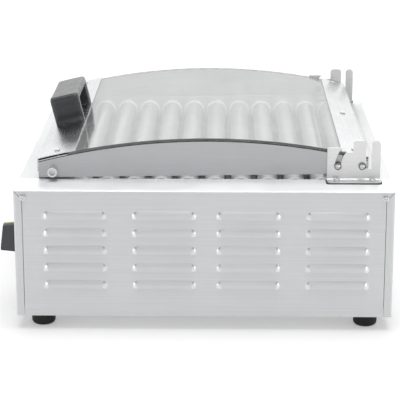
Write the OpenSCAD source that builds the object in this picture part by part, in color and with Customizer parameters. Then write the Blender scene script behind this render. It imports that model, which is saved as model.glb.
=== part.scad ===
// Roller grill with a hinged glass lid. Millimetres, front toward -Y, floor at Z = 0.

/* [Casing] */
// Casing width
casing_w = 540; // [500:1:600]
// Casing height above the feet
casing_h = 152; // [146:1:170]
// Casing sheet thickness
sheet = 1; // [0.8:0.1:1.4]
// Width of the deck on each side
deck_w = 55; // [52:1:62]
// Wrap of the front and rear panels round the sides
wrap = 10; // [8:1:14]
// Seam between panels
seam = 0.5; // [0.3:0.05:0.6]
// Depth of the front rim
rim_front = 24; // [22:1:28]
// Depth of the rear rim
rim_rear = 13; // [4:0.5:24]
// Drop of the front rim's inner flange
rim_drop = 20; // [16:1:22]
// Drop of the rear rim's inner flange
rear_drop = 48; // [40:1:50]
// Outer bend radius of the casing sheets
bend_r = 2; // [1.5:0.1:2.4]
// Width of folded flanges inside the casing
flange = 12; // [10:1:14]
// Width of the vents in base and rear
vent_w = 6; // [4:0.5:8]
// Vent pitch
vent_pitch = 24; // [20:1:30]
// End wall thickness
wall_t = 1.2; // [1:0.1:1.6]
// Corner screw head diameter
corner_head_d = 7.5; // [6:0.5:9]
// Corner screw shank diameter
corner_shank_d = 3.9; // [3:0.1:4.5]

/* [Louvres] */
// Louvre rows
louvre_rows = 5; // [3:1:5]
// Louvre length
louvre_len = 74; // [60:1:80]
// Distance between the two inner louvre columns
louvre_inner = 98; // [90:1:102]
// Distance from an inner to an outer louvre column
louvre_outer = 103.5; // [96:0.5:105]
// Louvre row pitch
louvre_pitch_z = 21; // [19:0.1:22]
// Louvre hood radius
louvre_r = 12; // [11:0.5:13]
// Depth of the hood's axis behind the panel face
louvre_in = 9.5; // [9:0.1:9.8]
// Depth of the open lip below the hood's axis
louvre_lip = 2.7; // [2:0.1:3.5]
// Louvre hood wall
louvre_t = 0.9; // [0.8:0.1:1]
// Height of the middle row above the casing bottom
louvre_mid = 81; // [76:1:86]
// Offset of the louvre field toward the rear
louvre_off = 2.7; // [0:0.1:4]

/* [Feet] */
// Foot height
foot_h = 17; // [14:1:22]
// Foot diameter
foot_d = 28; // [24:1:32]
// Radius of the foot's lower edge
foot_round = 5; // [3:0.5:6]
// Foot distance from the casing centre, front to rear
foot_y = 191; // [170:1:195]
// Foot inset from the side
foot_in = 25; // [22:1:36]
// Foot screw shank diameter
foot_shank_d = 4.8; // [4:0.1:6]
// Foot screw head diameter
foot_head_d = 9; // [8:0.5:10]
// Foot screw nut height
foot_nut = 3; // [2.5:0.5:4]

/* [Rollers] */
// Roller diameter
roller_d = 25; // [22:0.5:26]
// Chain pitch
chain_pitch = 6.35; // [6.3:0.01:6.4]
// Chain pitches from one roller to the next
roller_links = 5; // [5:1:5]
// Distance of the first roller from the casing front
roller_first = 73; // [70:1:76]
// Distance of the last roller from the casing rear
roller_last = 49.5; // [48:0.5:60]
// Depth of the roller axes below the deck
roller_drop = 13.5; // [13.5:0.1:14.5]
// Roller tube wall
roller_wall = 1.2; // [1:0.1:2]
// Length of the end plugs
plug_len = 6; // [4:0.5:10]
// Journal diameter in the bushes
journal_d = 18; // [16:0.5:18]
// Stub shaft diameter
stub_d = 11; // [10:0.5:11.5]
// Bore through plugs and stub shafts
stub_bore = 8.4; // [8:0.1:8.8]
// Heater rod diameter
heater_d = 6; // [5:0.5:6.5]
// Running clearance on radius
run_fit = 0.05; // [0.02:0.01:0.08]
// Clearance between a moving piece and its neighbour
gap = 0.4; // [0.3:0.05:0.5]
// Bush flange diameter
bush_flange_d = 29; // [27:0.5:30]
// Bush flange thickness
bush_flange_t = 2.2; // [2:0.1:2.4]
// Bush hub diameter
bush_hub_d = 22; // [21:0.5:23]
// Bush hub length beyond the wall
bush_hub_out = 2.5; // [1.5:0.5:3]

/* [Drive] */
// Tooth height above the ring of chain pins
tooth_h = 0.75; // [0.5:0.05:0.8]
// Tooth seat radius
seat_r = 1.85; // [1.8:0.05:1.9]
// Sprocket thickness
sprocket_t = 3; // [2.5:0.1:3.4]
// Sprocket distance outside the end wall
sprocket_out = 10; // [9:0.5:12]
// Chain pin radius
pin_r = 1.3; // [1.2:0.05:1.35]
// Chain plate thickness
plate_t = 1; // [0.8:0.1:1.2]
// Links in each slanting chain run
slant_links = 28; // [28:1:28]
// Motor gearbox diameter
motor_d = 58; // [50:1:62]
// Motor gearbox length
motor_len = 34; // [28:1:40]
// Motor can diameter
can_d = 48; // [40:1:50]
// Motor can length
can_len = 22; // [18:1:30]
// Motor shaft diameter
shaft_d = 8; // [7:0.5:9]

/* [Tray] */
// Tray half width
tray_hw = 206; // [200:0.5:206.5]
// Tray depth below the deck, to its floor
tray_drop = 42.5; // [42:0.5:44]
// Tray wall height
tray_h = 14; // [10:0.5:14]
// Tray sheet thickness
tray_t = 1; // [0.8:0.1:1.2]
// Pull lip length
lip = 12; // [8:1:14]
// Tray end distance from the casing rear
tray_back = 5; // [4:0.5:25]
// Thickness of the tray's front plate
tray_plate = 1.2; // [1:0.1:1.5]
// Lap of a rail under the tray
rail_lap = 6.2; // [5:0.2:8]
// Rail flange height
rail_h = 10; // [8:1:12]
// Rail thickness
rail_t = 1.2; // [1:0.1:1.5]
// Pull lip width
lip_w = 90; // [70:1:120]
// Curl of the pull lip
curl_d = 5; // [4:0.5:6]

/* [Controls] */
// Knob diameter
knob_d = 39; // [34:1:42]
// Knob reach in front of the casing
knob_out = 29; // [22:1:30]
// Thickness of the knob's skirt
skirt_t = 6; // [5:0.5:8]
// Width of the knob's grip
grip_w = 15; // [12:0.5:18]
// Rounding of the grip's front
grip_round = 4; // [3:0.5:5]
// Slant of the grip's front, top to bottom
grip_slant = 4; // [3:0.5:5]
// Length of the knob shaft behind the panel
shaft_in = 24; // [20:1:28]
// Knob distance from the casing side
knob_in = 95; // [80:1:110]
// Control height above the casing bottom
control_z = 68; // [60:1:72]
// Depth of the lamp body behind the panel
lamp_body = 14; // [10:1:20]
// Lamp distance from the casing side
lamp_in = 150; // [140:1:170]
// Lamp lens diameter
lamp_d = 10; // [8:0.5:12]
// Thermostat shaft diameter
knob_shaft_d = 6; // [5:0.5:6]
// Thermostat thread diameter
thread_d = 10; // [9:0.5:11]
// Thermostat body width
therm_w = 36; // [30:1:40]
// Thermostat body depth
therm_l = 35; // [30:1:40]
// Rocker width
rocker_w = 15; // [13:0.5:16]
// Reach of the gland behind the casing
gland_out = 15; // [10:1:16]
// Gland bore
gland_bore = 8.4; // [7:0.1:9]
// Gland thread diameter
gland_d = 16; // [14:0.5:18]
// Gland distance from the casing side
gland_in = 70; // [60:1:90]
// Gland height above the casing bottom
gland_up = 30; // [26:1:36]
// Terminal block length
block_l = 60; // [50:1:70]
// Terminal block width
block_w = 22; // [18:1:26]
// Terminal block height
block_h = 18; // [14:1:22]

/* [Lid] */
// Drop of the arch from its top to the lid front
arch_drop = 25.66; // [24:0.02:27]
// Height of the arch top above the deck
arch_top = 50; // [46:1:56]
// Arch centre behind the casing centre
arch_y = 5; // [0:1:10]
// Glass thickness
glass_t = 3; // [2.5:0.1:4]
// Seal thickness
seal_t = 1; // [0.8:0.1:1.4]
// Lid panel thickness
panel_t = 1.2; // [1:0.1:1.5]
// Lid panel distance outside the end wall
panel_out = 1.2; // [1:0.1:2]
// Lid front distance from the casing front
lid_front = 24; // [22:1:26]
// Lid rear distance from the casing rear
lid_rear = 28; // [27:1:30]
// Lid lift above the deck at the front
lift_front = 2.2; // [2:0.1:3]
// Lid lift above the deck at the rear
lift_rear = 8.1; // [7:0.1:9]
// Front strip depth
strip_front = 43; // [38:1:48]
// Rear strip depth
strip_rear = 31; // [26:1:34]
// Lap of the strips over the glass
glass_lap = 8; // [6:0.5:9]
// Rivet distance from the lid side
rivet_in = 17; // [14:1:20]
// Rivet head diameter
rivet_d = 7; // [6:0.5:8]
// Strip sheet thickness
strip_t = 1.2; // [1:0.1:1.5]
// Front strip fold height
fold_front = 15; // [12:0.5:16]
// Rear strip fold height
fold_rear = 12; // [8:0.5:14]
// Handle length
handle_len = 116; // [100:1:140]
// Handle width
handle_w = 36.5; // [30:0.5:38]
// Handle height
handle_h = 37.4; // [30:0.2:40]
// Handle leg thickness
handle_leg = 13; // [10:1:16]
// Handle bar thickness
handle_bar = 9; // [8:0.5:11]
// Rounding of the handle along its length
handle_round = 4.5; // [3:0.5:6]
// Rounding of the handle at its ends
handle_edge = 3; // [2:0.5:4]
// Depth of the handle screws in the legs
handle_grip = 14; // [10:1:18]
// Handle centre behind the lid front
handle_in = 22.6; // [20:0.2:24]
// Front peg diameter
peg_d = 11.5; // [8:0.5:12]
// Front peg reach
peg_len = 12; // [8:0.5:14]
// Front peg behind the lid front
peg_in = 17.3; // [12:0.1:20]
// Front peg height above the deck
peg_up = 10.8; // [9:0.2:12]

/* [Hinge] */
// Pivot distance from the casing rear
pivot_back = 35; // [34:0.5:36]
// Pivot height above the deck
pivot_up = 18; // [17:0.5:19]
// Pivot pin diameter
pivot_d = 6; // [5:0.5:6.5]
// Guide pin diameter
guide_d = 6; // [5:0.5:6.5]
// Guide pin distance from the pivot
guide_r = 28.4; // [27:0.1:29]
// Bracket plate thickness
bracket_t = 2; // [1.5:0.1:2.5]
// Bracket height above the deck, front arm
bracket_arm = 39.8; // [38:0.2:41]
// Bracket height above the deck, between slot and fingers
bracket_low = 34.5; // [33:0.5:36]
// Bracket height above the deck, fingers
bracket_high = 48.6; // [46:0.2:51]
// Bracket foot width
bracket_foot = 17; // [14:0.5:20]
// Reach of the bracket in front of the pivot
bracket_fore = 41; // [39:0.5:43]
// Reach of the bracket behind the pivot
bracket_aft = 21.5; // [20.5:0.5:23]
// Width of the drop-in channel
channel_w = 6.8; // [6.6:0.1:7.2]
// Channel centre behind the pivot
channel_off = 8; // [7:0.1:8.5]
// Front edge of the first finger, in front of the pivot
finger_fore = 10.4; // [10:0.2:11]
// Rounding of the first finger
finger_round = 4.3; // [3:0.1:5]
// Rounding of the bracket's foot and bend
foot_corner = 4; // [3:0.5:5]
// Bracket screw distance from the plate
screw_out = 8; // [7:0.5:9]
// Screw diameter
screw_d = 4; // [3.5:0.1:4.5]
// Screw head diameter
screw_head_d = 7.5; // [6:0.5:8]
// Screw head height
screw_head_t = 2.2; // [1.8:0.1:2.6]
// Clearance of the guide pin in its slot
slot_fit = 0.4; // [0.35:0.05:0.6]
// Pin head diameter
pin_head_d = 9.5; // [8:0.5:10]

/* [Hidden] */
$fn = 48;
e = 0.01;
rollers = 11;
pitch = chain_pitch * roller_links;
hw = casing_w / 2;
hd = (roller_first + pitch * (rollers - 1) + roller_last) / 2;
zb = foot_h;
zt = foot_h + casing_h;
wall_x = hw - deck_w;
pan_t = 1.2;
pan_top = zb + pan_t;
shift_y = (knob_out - gland_out) / 2;
axis_z = zt - roller_drop;
row_y = -hd + roller_first;
end_y = row_y + pitch * (rollers - 1);
mid_y = (row_y + end_y) / 2;
teeth = 8;
seat_ring = chain_pitch / (2 * sin(180 / teeth));
tip_r = seat_ring + tooth_h;
plate_h = seat_ring - (stub_d / 2 + gap) / cos(180 / teeth);
run_y = pitch * (rollers - 1) / 2;
motor_z = axis_z - sqrt(pow(slant_links * chain_pitch, 2) - run_y * run_y);
panel_x = wall_x + panel_out;
bracket_x = panel_x + panel_t + 1;
lid_f = -hd + lid_front;
lid_b = hd - lid_rear;
arch_r = (pow(arch_y - lid_f, 2) + pow(arch_drop, 2)) / (2 * arch_drop);
arch_z = zt + arch_top - arch_r;
piv_y = hd - pivot_back;
piv_z = zt + pivot_up;
tray_z = zt - tray_drop;
ctl_z = zb + control_z;
knob_x = hw - knob_in;
lamp_x = hw - lamp_in;
gland_x = -hw + gland_in;
gland_z = zb + gland_up;

// Cylinder along X from x0 to x1
module xcyl(x0, x1, d, y, z) {
  translate([x0, y, z]) rotate([0, 90, 0]) cylinder(d = d, h = x1 - x0);
}

// Cylinder along Y from y0 to y1
module ycyl(y0, y1, d, x, z) {
  translate([x, y1, z]) rotate([90, 0, 0]) cylinder(d = d, h = y1 - y0);
}

// Box between two corners
module span(a, b) {
  translate(a) cube(b - a);
}

// Sheet in the Y-Z plane, from x0 with thickness t
module yz(x0, t, pts) {
  translate([x0, 0, 0]) rotate([90, 0, 90]) linear_extrude(t) polygon(pts);
}

// Rectangle with rounded corners
module rounded(w, h, r) {
  square([w - 2 * r, h], center = true);
  square([w, h - 2 * r], center = true);
  for (x = [-1, 1], y = [-1, 1]) translate([x * (w / 2 - r), y * (h / 2 - r)]) circle(r = r);
}

// Tab standing from z0 to z1 in a Y-Z profile, with rounded top corners
module tab(y0, y1, z0, z1, r) {
  translate([y0, z0]) square([y1 - y0, z1 - z0 - r]);
  translate([y0 + r, z0]) square([y1 - y0 - 2 * r, z1 - z0]);
  for (y = [y0 + r, y1 - r]) translate([y, z1 - r]) circle(r = r);
}

// Straight sides with a half circle at each end, length l between their centres
module stadium(r, l) {
  square([2 * r, l], center = true);
  for (s = [-1, 1]) translate([0, s * l / 2]) circle(r = r);
}

// What a bend takes off the casing's four upright corners
module corner_bends() for (x = [-1, 1], y = [-1, 1]) mirror([x < 0 ? 1 : 0, 0, 0])
  mirror([0, y < 0 ? 1 : 0, 0]) difference() {
    span([hw - bend_r, hd - bend_r, zb - 1], [hw + 1, hd + 1, zt + 1]);
    translate([hw - bend_r, hd - bend_r, zb - 2]) cylinder(r = bend_r, h = casing_h + 4);
  }

// What a bend takes off the front rim, and mirrored off the rear rim
module rim_bend() difference() {
  span([-hw - 1, -hd - 1, zt - bend_r], [hw + 1, -hd + bend_r, zt + 1]);
  xcyl(-hw - 2, hw + 2, 2 * bend_r, -hd + bend_r, zt - bend_r);
}

// What a bend takes off the deck's outer edge
module deck_bend() difference() {
  span([hw - bend_r, -hd - 1, zt - bend_r], [hw + 1, hd + 1, zt + 1]);
  ycyl(-hd - 2, hd + 2, 2 * bend_r, hw - bend_r, zt - bend_r);
}

module both() {
  children();
  mirror([1, 0, 0]) children();
}

module base_pan() color("silver") difference() {
  union() {
    span([-hw + sheet, -hd + sheet, zb], [hw - sheet, hd - sheet, pan_top]);
    both() span([hw - sheet - 1, -hd + sheet, zb], [hw - sheet, hd - sheet, zb + flange]);
    for (s = [-1, 1]) span([-hw + sheet, s * (hd - sheet - 0.5) - 0.5, zb],
      [hw - sheet, s * (hd - sheet - 0.5) + 0.5, zb + flange]);
  }
  for (x = [-1, 1], y = [-1, 1])
    translate([x * (hw - foot_in), y * foot_y, zb - 1]) cylinder(d = foot_shank_d + 0.2, h = 4);
  for (i = [-5 : 5]) translate([i * vent_pitch, 0, zb - 1]) linear_extrude(pan_t + 2)
    rounded(vent_w, 120, vent_w / 2 - e);
}

// Return of the front panel on the right side, with its mitred top
module wrap_right() yz(hw - sheet, sheet, [[-hd, zb], [-hd + wrap - seam, zb],
  [-hd + wrap - seam, zt - wrap + seam - 1.42 * seam], [-hd, zt - 1.42 * seam]]);

module corner_hole() both() for (s = [-1, 1])
  xcyl(hw - 2, hw + 1, corner_shank_d + 0.2, s * (hd - wrap - 1), zt - wrap + 2);

module front_panel() color("gainsboro") difference() {
  union() {
    span([-hw + sheet, -hd, zb], [hw - sheet, -hd + sheet, zt - sheet]);
    span([-wall_x, -hd, zt - sheet - e], [wall_x, -hd + rim_front, zt]);
    span([-wall_x, -hd + rim_front - sheet, zt - rim_drop], [wall_x, -hd + rim_front, zt]);
    both() wrap_right();
  }
  corner_hole();
  corner_bends();
  rim_bend();
  span([-tray_hw - 1.5, -hd - 1, tray_z - tray_t - 1], [tray_hw + 1.5, -hd + 2, tray_z + tray_h + 2]);
  for (s = [-1, 1]) {
    ycyl(-hd - 1, -hd + 2, thread_d + 0.2, s * knob_x, ctl_z);
    ycyl(-hd - 1, -hd + 2, lamp_d + 0.2, s * lamp_x, ctl_z);
  }
  span([-10.2, -hd - 1, ctl_z - 16.7], [10.2, -hd + 2, ctl_z + 16.7]);
}

module rear_panel() color("gainsboro") difference() {
  union() {
    span([-hw + sheet, hd - sheet, zb], [hw - sheet, hd, zt - sheet]);
    span([-wall_x, hd - rim_rear, zt - sheet - e], [wall_x, hd, zt]);
    span([-wall_x, hd - rim_rear, zt - rear_drop], [wall_x, hd - rim_rear + sheet, zt]);
    both() mirror([0, 1, 0]) wrap_right();
  }
  corner_hole();
  corner_bends();
  mirror([0, 1, 0]) rim_bend();
  ycyl(hd - 2, hd + 1, gland_d + 0.2, gland_x, gland_z);
  for (i = [-6 : 6]) translate([i * vent_pitch, hd + 1, ctl_z]) rotate([90, 0, 0]) linear_extrude(3)
    rounded(vent_w, 42, vent_w / 2 - e);
}

function louvre_y(i) = louvre_off + (i < 2 ? -1 : 1) * (louvre_inner / 2 +
  (i == 0 || i == 3 ? louvre_outer : 0));
function louvre_z(j) = zb + louvre_mid + (j - (louvre_rows - 1) / 2) * louvre_pitch_z - hood_up / 2;
hood_end = sqrt(louvre_r * louvre_r - louvre_in * louvre_in);
hood_up = hood_end - louvre_lip;

// Hood of one louvre: a turned shell with round ends, cut at the panel and open along its lower edge
module hood() intersection() {
  rotate([90, 0, 0]) rotate_extrude($fn = 64) intersection() {
    difference() {
      stadium(louvre_r, louvre_len - 2 * hood_end);
      stadium(louvre_r - louvre_t, louvre_len - 2 * hood_end);
    }
    translate([louvre_in - sheet, -louvre_len]) square([louvre_r, 2 * louvre_len]);
  }
  span([louvre_in - sheet / 2, -louvre_len / 2 - 1, -louvre_lip],
    [louvre_r + 1, louvre_len / 2 + 1, louvre_r]);
}

module side_panel() {
  yi = hd - wrap;
  difference() {
    union() {
      yz(hw - sheet, sheet, [[-yi, zb], [yi, zb], [yi, zt - wrap], [hd, zt], [-hd, zt], [-yi, zt - wrap]]);
      span([wall_x, -hd, zt - sheet], [hw, hd, zt]);
    }
    corner_hole();
    corner_bends();
    deck_bend();
    for (i = [0 : 3], j = [0 : louvre_rows - 1])
      span([hw - 2, louvre_y(i) - louvre_len / 2 + 5, louvre_z(j) - louvre_lip + 0.3],
        [hw + 1, louvre_y(i) + louvre_len / 2 - 5, louvre_z(j) + hood_end - 2]);
    bracket_holes(zt - 2, zt + 1);
  }
  for (i = [0 : 3], j = [0 : louvre_rows - 1]) translate([hw - louvre_in, louvre_y(i), louvre_z(j)]) hood();
}

module side_panel_right() color("gainsboro") side_panel();
module side_panel_left() color("gainsboro") mirror([1, 0, 0]) side_panel();

module end_wall() difference() {
  union() {
    span([wall_x - wall_t, -hd + rim_front, pan_top], [wall_x, hd - rim_rear, zt]);
    span([wall_x - wall_t, -hd + rim_front, pan_top], [wall_x + flange, hd - rim_rear, pan_top + wall_t]);
  }
  for (i = [0 : rollers - 1])
    xcyl(wall_x - 3, wall_x + 3, bush_hub_d + 2 * run_fit, row_y + i * pitch, axis_z);
}

module end_wall_right() color("silver") end_wall();
module end_wall_left() color("silver") difference() {
  mirror([1, 0, 0]) end_wall();
  xcyl(-wall_x - 3, -wall_x + 3, shaft_d + 6, mid_y, motor_z);
}

module tray_rails() color("silver") both() {
  z = tray_z - tray_t - 0.3;
  yb = hd - rim_rear - gap;
  span([tray_hw - rail_lap, -hd + sheet + 1, z - rail_t], [wall_x - wall_t, yb, z]);
  span([wall_x - wall_t - rail_t, -hd + sheet + 1, z - rail_h], [wall_x - wall_t, yb, z - rail_t + e]);
}

module feet() color([0.08, 0.08, 0.08]) for (x = [-1, 1], y = [-1, 1])
  translate([x * (hw - foot_in), y * foot_y, 0]) difference() {
    rotate_extrude() {
      square([foot_d / 2 - foot_round, foot_h]);
      translate([0, foot_round]) square([foot_d / 2, foot_h - foot_round]);
      intersection() {
        translate([foot_d / 2 - foot_round, foot_round]) circle(r = foot_round);
        square([foot_d / 2, foot_h]);
      }
    }
    translate([0, 0, -1]) cylinder(d = foot_head_d + 2, h = foot_h / 2 + 1);
    cylinder(d = foot_shank_d + 0.2, h = foot_h + 1);
  }

module foot_screws() color("dimgray") for (x = [-1, 1], y = [-1, 1])
  translate([x * (hw - foot_in), y * foot_y, 0]) {
    translate([0, 0, foot_h / 2 - 3]) cylinder(d = foot_head_d, h = 3);
    translate([0, 0, foot_h / 2 - e]) cylinder(d = foot_shank_d, h = foot_h / 2 + pan_t + foot_nut + 0.6);
    translate([0, 0, pan_top]) cylinder(d = foot_head_d, h = foot_nut);
  }

module corner_screws() color("silver") both() for (s = [-1, 1]) {
  xcyl(hw, hw + 2, corner_head_d, s * (hd - wrap - 1), zt - wrap + 2);
  xcyl(hw - 6, hw + e, corner_shank_d, s * (hd - wrap - 1), zt - wrap + 2);
}

module bushes() for (i = [0 : rollers - 1]) difference() {
  union() {
    xcyl(wall_x - wall_t - bush_flange_t, wall_x - wall_t, bush_flange_d, row_y + i * pitch, axis_z);
    xcyl(wall_x - wall_t - e, wall_x + bush_hub_out, bush_hub_d, row_y + i * pitch, axis_z);
  }
  xcyl(wall_x - 9, wall_x + 9, journal_d + 2 * run_fit, row_y + i * pitch, axis_z);
}

module bushes_right() color("white") bushes();
module bushes_left() color("white") mirror([1, 0, 0]) bushes();

heater_x = hw - 30;
heater_over = 13;

module heater_rods() color("peru") for (i = [0 : rollers - 1]) {
  xcyl(-hw + 22, hw - 22, heater_d, row_y + i * pitch, axis_z);
  both() xcyl(heater_x + 1.5, heater_x + 6, heater_d + 4, row_y + i * pitch, axis_z);
}

module heater_plate() difference() {
  union() {
    span([heater_x, row_y - heater_over, pan_top], [heater_x + 1.5, end_y + heater_over, axis_z + 9]);
    span([heater_x, row_y - heater_over, pan_top], [heater_x + flange, end_y + heater_over, pan_top + 1.5]);
  }
  for (i = [0 : rollers - 1])
    xcyl(heater_x - 3, heater_x + 3, heater_d + 0.2, row_y + i * pitch, axis_z);
  for (s = [-1, 1])
    translate([hw - foot_in, s * foot_y, pan_top - 1]) cylinder(d = foot_head_d + 4, h = foot_nut + 5);
}

module heater_plate_right() color("silver") heater_plate();
module heater_plate_left() color("silver") mirror([1, 0, 0]) heater_plate();

// Tooth profile shared by the roller sprockets and the motor sprocket
module sprocket(y, z) {
  x0 = -wall_x - sprocket_out - sprocket_t;
  difference() {
    xcyl(x0, x0 + sprocket_t, 2 * tip_r, y, z);
    for (k = [0 : teeth - 1])
      xcyl(x0 - 1, x0 + sprocket_t + 1, 2 * seat_r, y + seat_ring * sin(k * 360 / teeth),
        z + seat_ring * cos(k * 360 / teeth));
  }
}

tube_x = wall_x - wall_t - bush_flange_t - gap;

module roller(i) color("whitesmoke") {
  y = row_y + (i - 1) * pitch;
  difference() {
    union() {
      xcyl(-tube_x, tube_x, roller_d, y, axis_z);
      xcyl(-wall_x - bush_hub_out - 0.5, wall_x + bush_hub_out + 0.5, journal_d, y, axis_z);
      xcyl(-wall_x - sprocket_out - sprocket_t - 3, wall_x + 9, stub_d, y, axis_z);
      sprocket(y, axis_z);
    }
    xcyl(-tube_x + plug_len, tube_x - plug_len, roller_d - 2 * roller_wall, y, axis_z);
    xcyl(-hw, hw, stub_bore, y, axis_z);
  }
}

module gear_motor() color("darkgray") difference() {
  union() {
    xcyl(-wall_x + wall_t, -wall_x + wall_t + motor_len, motor_d, mid_y, motor_z);
    xcyl(-wall_x + wall_t + motor_len - e, -wall_x + wall_t + motor_len + can_len, can_d, mid_y, motor_z);
  }
  xcyl(-wall_x - 1, -wall_x + wall_t + 18, shaft_d + 2 * run_fit, mid_y, motor_z);
}

module motor_sprocket() color("dimgray") {
  sprocket(mid_y, motor_z);
  xcyl(-wall_x - sprocket_out - sprocket_t - 2, -wall_x + wall_t + 17, shaft_d, mid_y, motor_z);
}

// Chain pins, link by link: over the rollers, down to the motor sprocket and back up
function on_ring(y, z, a) = [y + seat_ring * cos(a), z + seat_ring * sin(a)];
function between(p, q, n) = [for (i = [1 : n - 1]) p + (q - p) * i / n];
pins = concat(
  [for (i = [0 : roller_links * (rollers - 1)]) [row_y + i * chain_pitch, axis_z + seat_ring]],
  [for (a = [45, 0, -45]) on_ring(end_y, axis_z, a)],
  between(on_ring(end_y, axis_z, -45), on_ring(mid_y, motor_z, -45), slant_links),
  [for (a = [-45, -90, -135]) on_ring(mid_y, motor_z, a)],
  between(on_ring(mid_y, motor_z, -135), on_ring(row_y, axis_z, -135), slant_links),
  [for (a = [225, 180, 135]) on_ring(row_y, axis_z, a)]);
links = len(pins);
function away(i) = let (d = pins[(i + 1) % links] - pins[(i + links - 1) % links]) [-d[1], d[0]] / norm(d);

module drive_chain() color("dimgray") {
  x1 = -wall_x - sprocket_out + 0.6;
  x0 = -wall_x - sprocket_out - sprocket_t - 0.6 - plate_t;
  rim = concat([for (i = [0 : links - 1]) pins[i] + away(i) * plate_h],
    [for (i = [0 : links - 1]) pins[i] - away(i) * plate_h]);
  for (x = [x0, x1]) translate([x, 0, 0]) rotate([90, 0, 90]) linear_extrude(plate_t)
    polygon(rim, [[for (i = [0 : links - 1]) i], [for (i = [0 : links - 1]) links + i]]);
  for (p = pins) xcyl(x0 - 0.4, x1 + plate_t + 0.4, 2 * pin_r, p[0], p[1]);
}

module thermostat(x) color("dimgray") difference() {
  union() {
    span([x - therm_w / 2, -hd + sheet, ctl_z - therm_w / 2],
      [x + therm_w / 2, -hd + sheet + therm_l, ctl_z + therm_w / 2]);
    ycyl(-hd - 4, -hd + sheet + e, thread_d, x, ctl_z);
  }
  ycyl(-hd - 5, -hd + shaft_in + 2, knob_shaft_d + 2 * run_fit, x, ctl_z);
}

module thermostat_right() thermostat(knob_x);
module thermostat_left() thermostat(-knob_x);

module thermostat_nuts() color("silver") for (s = [-1, 1]) difference() {
  translate([s * knob_x, -hd, ctl_z]) rotate([90, 0, 0]) cylinder(d = thread_d + 6, h = 2.5, $fn = 6);
  ycyl(-hd - 9, -hd + 9, thread_d + 0.1, s * knob_x, ctl_z);
}

// Lamp with a bezel on the panel and a domed lens
module indicator_lamps() color("orange") for (s = [-1, 1]) {
  ycyl(-hd - 2 - e, -hd + lamp_body, lamp_d, s * lamp_x, ctl_z);
  ycyl(-hd - 2, -hd, lamp_d + 4, s * lamp_x, ctl_z);
  intersection() {
    translate([s * lamp_x, -hd - 2 + lamp_d / 3, ctl_z]) sphere(r = lamp_d * 0.6);
    ycyl(-hd - 2 - lamp_d, -hd - 2, lamp_d, s * lamp_x, ctl_z);
  }
}

rocker_y = -hd + 2;

module switch_housing() color([0.1, 0.1, 0.1]) difference() {
  union() {
    translate([0, -hd, ctl_z]) rotate([90, 0, 0]) linear_extrude(2) rounded(25, 38, 3);
    span([-10, -hd - e, ctl_z - 16.5], [10, -hd + 22, ctl_z + 16.5]);
  }
  span([-rocker_w / 2 - gap, -hd - 3, ctl_z - 15], [rocker_w / 2 + gap, -hd + 20, ctl_z + 15]);
  xcyl(-9, 9, 4 + 2 * run_fit, rocker_y, ctl_z);
}

module switch_rocker() color([0.12, 0.12, 0.12]) translate([0, rocker_y, ctl_z]) rotate([10, 0, 0]) {
  translate([-rocker_w / 2, 0, 0]) rotate([90, 0, 90]) linear_extrude(rocker_w)
    polygon([[-6.5, 0], [-8.6, 11], [-5, 12], [3, 4], [3, -4], [-5, -12], [-8.6, -11]]);
  xcyl(-rocker_w / 2 - 1, rocker_w / 2 + 1, 4, 0, 0);
}

module terminal_block() color("ivory") translate([gland_x + 50, hd - 70, pan_top]) difference() {
  cube([block_l, block_w, block_h]);
  for (i = [0 : 4]) translate([(i + 0.5) * block_l / 5, block_w / 2, block_h / 3])
    cylinder(d = 5, h = block_h);
  for (i = [1 : 4]) translate([i * block_l / 5 - 0.5, -1, block_h * 0.7]) cube([1, block_w + 2, block_h]);
}

// Gland with a hexagon against the panel and a tapered cap
module cable_gland() color([0.1, 0.1, 0.1]) difference() {
  hex_t = gland_out * 0.4;
  union() {
    ycyl(hd - 15, hd + e, gland_d, gland_x, gland_z);
    translate([gland_x, hd + hex_t, gland_z]) rotate([90, 0, 0])
      cylinder(d = gland_d + 8, h = hex_t, $fn = 6);
    translate([gland_x, hd + hex_t - e, gland_z]) rotate([-90, 0, 0])
      cylinder(d1 = gland_d + 3, d2 = gland_bore + 5, h = gland_out - hex_t + e);
  }
  ycyl(hd - 20, hd + gland_out + 5, gland_bore, gland_x, gland_z);
}

module gland_nut() color([0.1, 0.1, 0.1]) difference() {
  translate([gland_x, hd - sheet, gland_z]) rotate([90, 0, 0]) cylinder(d = gland_d + 8, h = 5, $fn = 6);
  ycyl(hd - 20, hd + 5, gland_d + 0.1, gland_x, gland_z);
}

screw_ys = [-bracket_fore + 11, bracket_aft - 9.5];

// Holes of the bracket screws, on the right side
module bracket_holes(z0, z1) for (y = screw_ys)
  translate([bracket_x + bracket_t + screw_out, piv_y + y, z0]) cylinder(d = screw_d + 0.2, h = z1 - z0);

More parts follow.
